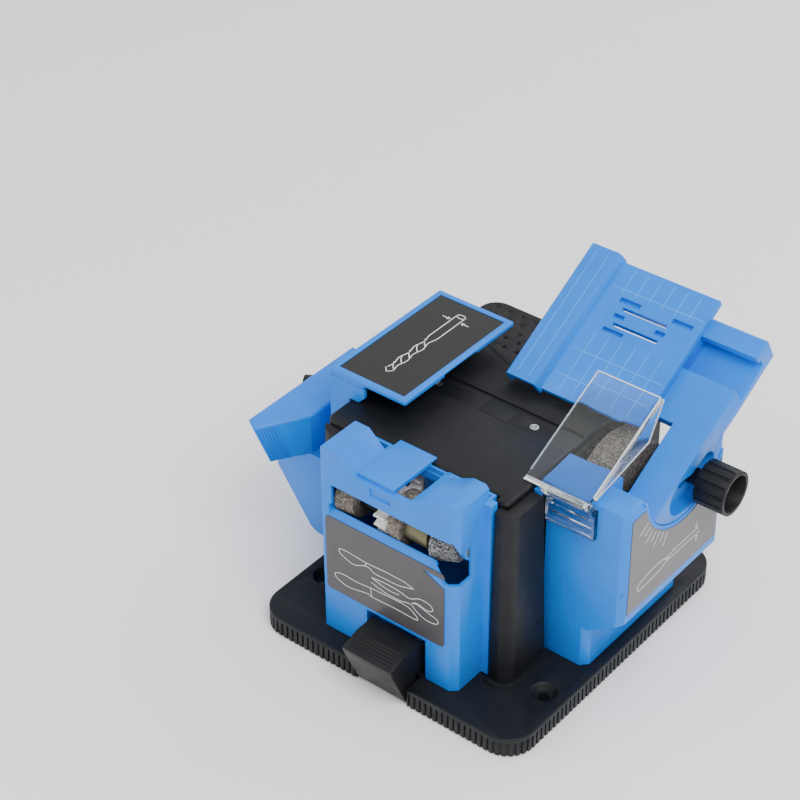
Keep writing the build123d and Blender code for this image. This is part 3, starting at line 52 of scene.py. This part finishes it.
# ------------------------------------------------------------------ palette, linear RGB
BLUE = (0.0, 0.19, 0.74)
BLACK = (0.005, 0.0055, 0.007)
DARK_GREY = (0.006, 0.007, 0.009)
KNIFE_FILM = (0.055, 0.050, 0.055)
CHISEL_FILM = (0.12, 0.115, 0.12)
DRILL_FILM = (0.0015, 0.0015, 0.002)
INK = (0.86, 0.86, 0.88)
STONE_TAN = (0.20, 0.165, 0.125)
STONE_GREY = (0.13, 0.13, 0.13)
BRASS_OLIVE = (0.21, 0.19, 0.10)
STEEL = (0.56, 0.57, 0.58)
COPPER = (0.62, 0.25, 0.10)
NYLON = (0.76, 0.74, 0.68)
CARBON = (0.03, 0.03, 0.032)
RUBBER = (0.016, 0.016, 0.018)


# ------------------------------------------------------------------ materials
class Graph:
    """Small helper that adds and links the nodes of one material."""

    def __init__(self, name):
        self.material = bpy.data.materials.new(name)
        self.material.use_nodes = True
        self.nodes = self.material.node_tree.nodes
        self.links = self.material.node_tree.links
        self.shader = self.nodes["Principled BSDF"]

    def add(self, kind, **values):
        node = self.nodes.new(kind)
        for key, value in values.items():
            if key in node.inputs:
                node.inputs[key].default_value = value
            else:
                setattr(node, key, value)
        return node

    def link(self, source, target):
        self.links.new(source, target)

    def set(self, **values):
        for key, value in values.items():
            self.shader.inputs[key.replace("_", " ")].default_value = value

    def coords(self):
        return self.add("ShaderNodeTexCoord").outputs["Object"]

    def noise(self, scale, detail=4.0, roughness=0.55):
        node = self.add("ShaderNodeTexNoise", Scale=scale, Detail=detail, Roughness=roughness)
        self.link(self.coords(), node.inputs["Vector"])
        return node.outputs["Fac"]

    def cells(self, scale, feature="F1"):
        node = self.add("ShaderNodeTexVoronoi", Scale=scale, feature=feature)
        self.link(self.coords(), node.inputs["Vector"])
        return node

    def ramp(self, source, *stops):
        """Colour ramp from (place, colour) stops."""
        node = self.add("ShaderNodeValToRGB")
        elements = node.color_ramp.elements
        for _ in range(len(stops) - 2):
            elements.new(0.5)
        for element, (place, colour) in zip(elements, stops):
            element.position = place
            element.color = (*colour, 1.0)
        self.link(source, node.inputs["Fac"])
        return node.outputs["Color"]

    def span(self, source, low, high, to_low, to_high):
        node = self.add("ShaderNodeMapRange")
        node.inputs["From Min"].default_value = low
        node.inputs["From Max"].default_value = high
        node.inputs["To Min"].default_value = to_low
        node.inputs["To Max"].default_value = to_high
        self.link(source, node.inputs["Value"])
        return node.outputs["Result"]

    def bump(self, source, strength, distance, under=None):
        node = self.add("ShaderNodeBump", Strength=strength, Distance=distance)
        self.link(source, node.inputs["Height"])
        if under is not None:
            self.link(under, node.inputs["Normal"])
        return node.outputs["Normal"]


def scaled(colour, factor):
    return tuple(min(1.0, c * factor) for c in colour)


def moulded(name, colour, rough, grain=0.10, grain_scale=2600.0, spread=0.10):
    """Moulded plastic: faint flow mottling, spark-eroded grain and uneven gloss."""
    g = Graph(name)
    mottle = g.noise(38.0, 5.0, 0.6)
    tint = g.ramp(mottle, (0.30, scaled(colour, 1 - spread)), (0.70, scaled(colour, 1 + spread)))
    g.link(tint, g.shader.inputs["Base Color"])
    gloss = g.span(g.noise(120.0, 3.0), 0.3, 0.7, rough - 0.06, rough + 0.06)
    g.link(gloss, g.shader.inputs["Roughness"])
    fine = g.bump(g.noise(grain_scale, 2.0, 0.5), grain, 0.00006)
    wavy = g.bump(g.noise(22.0, 2.0, 0.5), 0.06, 0.0006, fine)
    g.link(wavy, g.shader.inputs["Normal"])
    g.shader.inputs["Specular IOR Level"].default_value = 0.3
    return g.material


def film(name, colour, rough):
    """Printed film label with faint dust and a slight orange peel."""
    g = Graph(name)
    tint = g.ramp(g.noise(60.0, 6.0, 0.65), (0.25, scaled(colour, 0.92)), (0.75, scaled(colour, 1.08)))
    g.link(tint, g.shader.inputs["Base Color"])
    gloss = g.span(g.noise(300.0, 4.0), 0.3, 0.7, rough, rough + 0.08)
    g.link(gloss, g.shader.inputs["Roughness"])
    g.link(g.bump(g.noise(420.0, 2.0), 0.08, 0.0002), g.shader.inputs["Normal"])
    g.set(Coat_Weight=0.15, Coat_Roughness=0.25)
    return g.material


def abrasive(name, colour, light, dark):
    """Bonded abrasive: glittering grit in a darker bond."""
    g = Graph(name)
    grit = g.cells(1500.0)
    grains = g.ramp(grit.outputs["Color"], (0.15, dark), (0.5, colour), (0.85, light))
    clumps = g.add("ShaderNodeMixRGB", blend_type="MULTIPLY")
    clumps.inputs["Fac"].default_value = 0.8
    g.link(grains, clumps.inputs["Color1"])
    g.link(g.ramp(g.noise(330.0, 5.0, 0.7), (0.35, (0.40, 0.40, 0.40)), (0.65, (1.0, 1.0, 1.0))),
           clumps.inputs["Color2"])
    g.link(clumps.outputs["Color"], g.shader.inputs["Base Color"])
    g.link(g.span(grit.outputs["Distance"], 0.0, 0.6, 0.55, 0.95), g.shader.inputs["Roughness"])
    g.link(g.bump(grit.outputs["Distance"], 0.8, 0.0005), g.shader.inputs["Normal"])
    return g.material


def turned_metal(name, colour, rough, metallic=1.0, lines=900.0):
    """Turned or drawn metal with fine lathe lines along X and faint stains."""
    g = Graph(name)
    wave = g.add("ShaderNodeTexWave", Scale=lines, Distortion=1.5, Detail=2.0)
    wave.bands_direction = "X"
    g.link(g.coords(), wave.inputs["Vector"])
    stain = g.noise(70.0, 5.0, 0.6)
    g.link(g.ramp(stain, (0.25, scaled(colour, 0.72)), (0.7, colour)), g.shader.inputs["Base Color"])
    g.link(g.span(stain, 0.3, 0.7, rough - 0.08, rough + 0.12), g.shader.inputs["Roughness"])
    g.link(g.bump(wave.outputs["Fac"], 0.25, 0.00005), g.shader.inputs["Normal"])
    g.set(Metallic=metallic)
    return g.material


def wound_copper(name):
    """Enamelled wire, seen as fine parallel turns; the darker bands between the turns are painted shade in the grooves.
    """
    g = Graph(name)
    wave = g.add("ShaderNodeTexWave", Scale=620.0, Distortion=0.6, Detail=1.0)
    g.link(g.coords(), wave.inputs["Vector"])
    # copper darkened to 35% in the wave's low bands: painted shade between the turns
    g.link(g.ramp(wave.outputs["Fac"], (0.1, scaled(COPPER, 0.35)), (0.75, COPPER)),
           g.shader.inputs["Base Color"])
    g.link(g.bump(wave.outputs["Fac"], 0.7, 0.0004), g.shader.inputs["Normal"])
    g.set(Metallic=0.85, Roughness=0.34)
    return g.material


def clear_plastic(name):
    """Clear polycarbonate with a faint cool tint and tiny flow marks."""
    g = Graph(name)
    g.set(Base_Color=(0.93, 0.965, 0.98, 1.0), Transmission_Weight=1.0, IOR=1.47)
    g.link(g.span(g.noise(90.0, 4.0), 0.3, 0.7, 0.01, 0.05), g.shader.inputs["Roughness"])
    g.link(g.bump(g.noise(34.0, 2.0), 0.05, 0.0004), g.shader.inputs["Normal"])
    return g.material


def printed_ink(name):
    """White screen-print ink with slightly broken cover."""
    g = Graph(name)
    g.link(g.ramp(g.noise(900.0, 4.0, 0.7), (0.2, scaled(INK, 0.78)), (0.5, INK)),
           g.shader.inputs["Base Color"])
    g.set(Roughness=0.6)
    return g.material


MATERIALS = {
    "blue_plastic": moulded("blue_plastic", BLUE, 0.36, grain=0.05, spread=0.05),
    "black_plastic": moulded("black_plastic", BLACK, 0.50, grain=0.30, grain_scale=1500.0, spread=0.22),
    "dark_grey_plastic": moulded("dark_grey_plastic", DARK_GREY, 0.55, grain=0.36, grain_scale=1300.0,
                                 spread=0.2),
    "knife_label": film("knife_label", KNIFE_FILM, 0.38),
    "chisel_label": film("chisel_label", CHISEL_FILM, 0.36),
    "drill_label": film("drill_label", DRILL_FILM, 0.30),
    "grinding_stone": abrasive("grinding_stone", STONE_TAN, (0.42, 0.38, 0.32), (0.05, 0.04, 0.03)),
    "grey_stone": abrasive("grey_stone", STONE_GREY, (0.55, 0.55, 0.56), (0.02, 0.02, 0.022)),
    "brass": turned_metal("brass", BRASS_OLIVE, 0.42, metallic=0.6),
    "steel": turned_metal("steel", STEEL, 0.30),
    "laminated_steel": turned_metal("laminated_steel", (0.25, 0.26, 0.28), 0.45, lines=2200.0),
    "copper_winding": wound_copper("copper_winding"),
    "carbon": moulded("carbon", CARBON, 0.6, grain=0.3),
    "white_nylon": moulded("white_nylon", NYLON, 0.42),
    "rubber": moulded("rubber", RUBBER, 0.75, grain=0.5),
    "clear_plastic": clear_plastic("clear_plastic"),
}


def painted_edge_highlight(name):
    """Sawn edge of clear sheet, which gathers light and looks white; the near-white colour is a painted highlight
    standing in for that light.
    """
    g = Graph(name)
    # near-white base colour: painted highlight of the light caught in the sawn edge
    g.link(g.ramp(g.noise(400.0, 3.0), (0.3, (0.80, 0.88, 0.93)), (0.7, (0.97, 0.99, 1.0))),
           g.shader.inputs["Base Color"])
    g.set(Roughness=0.2, Transmission_Weight=0.15)
    return g.material


INK_MATERIAL = printed_ink("printed_ink")
# material with a painted highlight for the shield's sawn edges
EDGE_HIGHLIGHT_MATERIAL = painted_edge_highlight("sheet_edge_painted_highlight")
GUIDE_LINE = moulded("guide_line", (0.10, 0.40, 0.92), 0.42)


# ------------------------------------------------------------------ carried-over CAD nodes
BEVELS = {"clear_plastic": 0.35, "blue_plastic": 0.5, "black_plastic": 0.45, "dark_grey_plastic": 0.4}
NO_BEVEL = {"latch_spring", "knife_label_plate", "chisel_label_plate", "drill_label_plate"}


def finish_node(node, slot):
    """Material and softened edges for one CAD node; its own mesh stays as it is."""
    obj = NODES[node]
    obj.data.materials.clear()
    obj.data.materials.append(MATERIALS[slot])
    if node in NO_BEVEL:
        return
    weld = obj.modifiers.new("weld", "WELD")
    weld.merge_threshold = 0.000002
    flat = obj.modifiers.new("flat", "DECIMATE")
    flat.decimate_type = "DISSOLVE"
    flat.angle_limit = math.radians(0.4)
    bevel = obj.modifiers.new("edges", "BEVEL")
    bevel.width = BEVELS.get(slot, 0.25) * MM
    bevel.segments = 2
    bevel.limit_method = "ANGLE"
    bevel.angle_limit = math.radians(32)
    bevel.harden_normals = True
    for polygon in obj.data.polygons:
        polygon.use_smooth = True


for entry in frame["record"]["subparts"]:
    finish_node(entry["node"], entry["material_slot"])


# ------------------------------------------------------------------ added pieces
TILT = math.radians(29.3)
RAIL_ORIGIN_Z = 129.1
TABLE_TOP, FENCE_TOP = 5.3, 11.3
SHIELD_SLOPE = math.radians(26.6)
SHIELD_ORIGIN = (-33.5, 149.9)
KNIFE_LABEL_Y, CHISEL_LABEL_X, DRILL_LABEL_Z = -100.5, 122.5, 167.5
TILT_CENTRE = (34, 155)
SINK = 0.02                   # how far a raised line reaches into the surface below it


def add_piece(name, mesh, material, body):
    obj = bpy.data.objects.new(name, mesh)
    obj.data.materials.append(material)
    bpy.context.scene.collection.objects.link(obj)
    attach(obj, body)
    return obj


def stroke(bm, points, place, width, height, closed=False):
    """One raised line of constant width along a polyline, in surface millimetres."""
    count = len(points)
    rows = []
    for i, (u, v) in enumerate(points):
        before = points[i - 1] if closed or i > 0 else points[i]
        after = points[(i + 1) % count] if closed or i < count - 1 else points[i]
        du, dv = after[0] - before[0], after[1] - before[1]
        length = math.hypot(du, dv) or 1.0
        su, sv = -dv / length * width / 2, du / length * width / 2
        corners = [(u + su, v + sv, -SINK), (u - su, v - sv, -SINK), (u - su, v - sv, height), (u + su, v + sv, height)]
        rows.append([bm.verts.new(place(*corner)) for corner in corners])
    pairs = list(zip(rows, rows[1:]))
    if closed:
        pairs.append((rows[-1], rows[0]))
    for row, following in pairs:
        for k in range(4):
            bm.faces.new((row[k], row[(k + 1) % 4], following[(k + 1) % 4], following[k]))
    if not closed:
        bm.faces.new(rows[0][::-1])
        bm.faces.new(rows[-1])


def drawing(name, strokes, place, width, height=0.05):
    """Mesh of several raised lines; each stroke is (points, closed)."""
    bm = bmesh.new()
    for points, closed in strokes:
        stroke(bm, points, place, width, height, closed)
    bmesh.ops.recalc_face_normals(bm, faces=bm.faces)
    mesh = bpy.data.meshes.new(name)
    bm.to_mesh(mesh)
    bm.free()
    return mesh


def curve(points, steps=6, closed=False):
    """Catmull-Rom curve through the points."""
    count = len(points)
    spans = count if closed else count - 1
    result = []
    for i in range(spans):
        if closed:
            p = [points[(i + k - 1) % count] for k in range(4)]
        else:
            p = [points[max(0, min(count - 1, i + k - 1))] for k in range(4)]
        for step in range(steps):
            t = step / steps
            result.append(tuple(
                0.5 * (2 * b + (c - a) * t + (2 * a - 5 * b + 4 * c - d) * t * t + (3 * b - a - 3 * c + d) * t ** 3)
                for a, b, c, d in zip(*p)))
    return result if closed else result + [points[-1]]


def on_knife_label(x, z, h):
    return Vector((x, KNIFE_LABEL_Y - h, z)) * MM


def on_chisel_label(y, z, h):
    return Vector((CHISEL_LABEL_X + h, y, z)) * MM


def on_drill_label(x, y, h):
    return Vector((x, y, DRILL_LABEL_Z + h)) * MM


def on_table(level):
    def place(x, s, h):
        n = level + h
        y = s * math.cos(TILT) - n * math.sin(TILT)
        return Vector((x, y, RAIL_ORIGIN_Z + s * math.sin(TILT) + n * math.cos(TILT))) * MM
    return place


def arrow(tip, tail):
    """Short arrow from tail to tip, as two strokes."""
    du, dv = tip[0] - tail[0], tip[1] - tail[1]
    length = math.hypot(du, dv)
    du, dv = du / length * 2.2, dv / length * 2.2
    barbs = [(tip[0] - du - dv * 0.6, tip[1] - dv + du * 0.6), tip,
             (tip[0] - du + dv * 0.6, tip[1] - dv - du * 0.6)]
    return [([tail, tip], False), (barbs, False)]


def knife_pictogram():
    large = curve([(-43.5, 83), (-44, 86.6), (-38, 87.4), (-22.4, 86.4)]) + [(-5, 87.4), (8, 87.2), (15.7, 85.4)]
    large += curve([(15.7, 85.4), (4, 82.0), (-8, 81.4), (-16, 81.4), (-20, 83.6), (-24, 83.2), (-33, 79.6),
                    (-43.5, 83)])
    small = curve([(-47.4, 61.4), (-48, 64.6), (-42, 66.8), (-30, 66.4), (-19, 67.6)]) + [(-4, 68.4)]
    small += curve([(-4, 68.4), (11, 68.2), (18.4, 61.6), (0, 61.4), (-17.9, 60.6), (-22, 61.4), (-38, 58.6),
                    (-47.4, 61.4)])
    upper_blade = curve([(-18.5, 76.6), (-8, 77.8), (4, 77.4), (8, 76.4)])
    lower_edge = curve([(-18.5, 76.6), (-10, 74.6), (-3, 73.6), (4, 74.4)])
    lower_blade = curve([(-18.5, 72.6), (-8, 70.2), (4, 70.0), (10, 71.4), (14, 71.6)])
    upper_handle = curve([(8, 76.4), (13, 76.2), (20, 79.8), (28, 79.4), (30.4, 76.0), (26, 73.6), (18, 75.0),
                          (13.5, 72.8)])
    lower_handle = curve([(14, 71.6), (18, 68.2), (25, 65.4), (33, 66.4), (34, 70.0), (26, 72.2), (18, 74.2),
                          (13.5, 72.8)])
    bolsters = [[(-22.4, 86.2), (-23.0, 83.4)], [(-19, 67.4), (-18.4, 60.9)]]
    open_lines = bolsters + [upper_blade, lower_edge, lower_blade, upper_handle, lower_handle]
    return [(large, True), (small, True)] + [(line, False) for line in open_lines]


def chisel_pictogram():
    handle = curve([(-14, 82.4), (-15.4, 86.0), (-12, 88.6), (-2, 90.4), (8, 90.8), (16, 89.6)])
    handle += curve([(17, 86.4), (8, 83.8), (-3, 82.8), (-14, 82.4)])
    blade = [(18.4, 89.2), (24, 90.6), (52, 90.6), (54.6, 86.2), (24, 86.2), (18.4, 87.0)]
    strokes = [(handle, True), (blade, True), ([(17.4, 90.0), (17.4, 86.0)], False)]
    strokes += arrow((50, 91.4), (50, 96.4)) + arrow((51, 85.4), (51, 80.4))
    for i in range(7):
        angle = math.radians(-152 + 6.4 * i)
        inner, outer = 47.6, 57.5 if i % 2 == 0 else 54.5
        y, z = TILT_CENTRE
        strokes.append(([(y + r * math.cos(angle), z + r * math.sin(angle)) for r in (inner, outer)], False))
    return strokes


def drill_pictogram():
    middle, shank = -69.4, 3.3
    shank_y0, shank_y1 = 27, 56
    strokes = [([(x, shank_y0), (x, shank_y1)], False) for x in (middle - shank, middle + shank)]
    cap = [(middle + shank * math.cos(math.radians(a)), shank_y1 + 2.0 * math.sin(math.radians(a)))
           for a in range(0, 360, 24)]
    strokes.append((cap, True))
    for side in (-1, 1):
        wave = [(middle + side * (shank - 0.8 + 0.8 * math.cos((shank_y0 - y) / 47 * 6 * math.pi)), y)
                for y in range(shank_y0, -19, -2)]
        strokes.append((wave, False))
    for start in (22, 14, 6, -2, -10):
        flute = [(middle - shank + 0.5, start), (middle - 1, start - 3.5), (middle + shank - 0.5, start - 7.5)]
        strokes.append((curve(flute), False))
    strokes.append(([(middle - shank, -18), (middle, -21.5), (middle + shank, -18)], False))
    return strokes + arrow((middle - 4.4, 50), (middle - 10.6, 50)) + arrow((middle + 4.4, 50), (middle + 10.6, 50))


add_piece("knife_label_print", drawing("knife_label_print", knife_pictogram(), on_knife_label, 0.4),
          INK_MATERIAL, "knife_head")
add_piece("chisel_label_print", drawing("chisel_label_print", chisel_pictogram(), on_chisel_label, 0.45),
          INK_MATERIAL, "chisel_head")
add_piece("drill_label_print", drawing("drill_label_print", drill_pictogram(), on_drill_label, 0.6),
          INK_MATERIAL, "drill_head")

ruling = [([(x, 50.0), (x, 96.0)], False) for x in range(20, 80, 10)]
ruling += [([(x, 127.0), (x, 145.0)], False) for x in range(20, 80, 10)]
ruling += [([(12.0, s), (80.0, s)], False) for s in (60.0, 80.0, 130.0)]
add_piece("table_ruling", drawing("table_ruling", ruling, on_table(TABLE_TOP), 0.35, 0.04),
          GUIDE_LINE, "sliding_table")
fence_lines = [([(x, 48.0), (x, 145.0)], False) for x in (-9.0, 0.0)]
add_piece("fence_lines", drawing("fence_lines", fence_lines, on_table(FENCE_TOP), 0.35, 0.04),
          GUIDE_LINE, "sliding_table")


def shield_point(s, n):
    """Point in Y and Z on the clear shield, in millimetres."""
    y0, z0 = SHIELD_ORIGIN
    slope = SHIELD_SLOPE
    return (y0 + s * math.cos(slope) - n * math.sin(slope), z0 + s * math.sin(slope) + n * math.cos(slope))


def edge_bar(bm, start, end, half, x0, x1):
    """Square bar between two Y-Z points, from x0 to x1."""
    dy, dz = end[0] - start[0], end[1] - start[1]
    length = math.hypot(dy, dz)
    ny, nz = -dz / length * half, dy / length * half
    ring = [(start[0] + ny, start[1] + nz), (end[0] + ny, end[1] + nz), (end[0] - ny, end[1] - nz),
            (start[0] - ny, start[1] - nz)]
    near = [bm.verts.new(Vector((x0, y, z)) * MM) for y, z in ring]
    far = [bm.verts.new(Vector((x1, y, z)) * MM) for y, z in ring]
    bm.faces.new(near)
    bm.faces.new(far[::-1])
    for k in range(4):
        bm.faces.new((near[k], near[(k + 1) % 4], far[(k + 1) % 4], far[k]))


def shield_edge_highlights():
    """Sawn edges of the clear shield and its side wing, as bars with a painted highlight."""
    bm = bmesh.new()
    edge_bar(bm, shield_point(4, 1.6), shield_point(81, 1.6), 1.05, 50.9, 51.5)
    edge_bar(bm, shield_point(4, 1.6), shield_point(81, 1.6), 1.05, 96.8, 97.3)
    edge_bar(bm, shield_point(80.4, 1.6), shield_point(81.1, 1.6), 1.05, 50.9, 97.3)
    edge_bar(bm, (-38.3, 150.6), (-34.5, 151.0), 0.28, 50.9, 97.0)
    corners = [shield_point(4, 0.9), shield_point(81, 1.1), shield_point(58, -14.4)]
    for start, end in zip(corners[1:], corners[2:] + corners[:1]):
        edge_bar(bm, start, end, 0.35, 96.9, 99.1)
    bmesh.ops.recalc_face_normals(bm, faces=bm.faces)
    mesh = bpy.data.meshes.new("shield_edge_highlights")
    bm.to_mesh(mesh)
    bm.free()
    return mesh


# bars with a painted highlight laid along the shield's sawn edges
add_piece("shield_edge_highlights", shield_edge_highlights(), EDGE_HIGHLIGHT_MATERIAL, "clear_shield")

coils = bpy.data.objects.new("latch_spring_coils", NODES["latch_spring"].data.copy())
bpy.context.scene.collection.objects.link(coils)
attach(coils, "knife_head")
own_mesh(coils)
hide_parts("latch_spring")


# ------------------------------------------------------------------ stage, lights and camera
def plain_material(name, colour):
    g = Graph(name)
    g.set(Base_Color=(*colour, 1.0), Roughness=0.6)
    return g.material


def make_floor():
    mesh = bpy.data.meshes.new("floor")
    half = 6.0
    mesh.from_pydata([(-half, -half, 0), (half, -half, 0), (half, half, 0), (-half, half, 0)], [], [(0, 1, 2, 3)])
    floor = bpy.data.objects.new("floor", mesh)
    floor.data.materials.append(plain_material("floor_paper", (0.97, 0.97, 0.97)))
    bpy.context.scene.collection.objects.link(floor)


def area_light(name, place, target, size, power, colour=(1, 1, 1)):
    data = bpy.data.lights.new(name, "AREA")
    data.shape = "RECTANGLE"
    data.size, data.size_y = size
    data.energy = power
    data.color = colour
    light = bpy.data.objects.new(name, data)
    light.location = place
    light.rotation_mode = "QUATERNION"
    light.rotation_quaternion = (Vector(target) - Vector(place)).to_track_quat("-Z", "Y")
    bpy.context.scene.collection.objects.link(light)


def make_world():
    world = bpy.data.worlds.new("studio")
    world.use_nodes = True
    background = world.node_tree.nodes["Background"]
    background.inputs["Color"].default_value = (1, 1, 1, 1)
    background.inputs["Strength"].default_value = 0.95
    bpy.context.scene.world = world


CAMERA_PLACE = Vector((0.65273, -0.89238, 0.97522))
CAMERA_AZIMUTH, CAMERA_ELEVATION, CAMERA_ROLL = (math.radians(a) for a in (39.236, 36.28, -0.528))
CAMERA_LENS = 98.93


def make_camera():
    data = bpy.data.cameras.new("camera")
    data.lens = CAMERA_LENS
    data.sensor_width = 36.0
    data.clip_start, data.clip_end = 0.05, 50.0
    camera = bpy.data.objects.new("camera", data)
    az, el, roll = CAMERA_AZIMUTH, CAMERA_ELEVATION, CAMERA_ROLL
    back = Vector((math.sin(az) * math.cos(el), -math.cos(az) * math.cos(el), math.sin(el)))
    right = Vector((math.cos(az), math.sin(az), 0.0))
    up = right.cross(-back)
    side = math.cos(roll) * right + math.sin(roll) * up
    top = -math.sin(roll) * right + math.cos(roll) * up
    basis = Matrix((side, top, back)).transposed().to_4x4()
    camera.matrix_world = Matrix.Translation(CAMERA_PLACE) @ basis
    bpy.context.scene.collection.objects.link(camera)
    bpy.context.scene.camera = camera


make_floor()
make_world()
make_camera()
area_light("key", (0.9, -0.5, 1.5), (0, 0, 0.1), (0.9, 0.9), 24)
area_light("fill", (-1.2, -1.0, 0.9), (0, 0, 0.1), (1.2, 1.0), 7)
area_light("rear", (0.2, 1.4, 1.2), (0, 0, 0.1), (1.2, 0.7), 11)
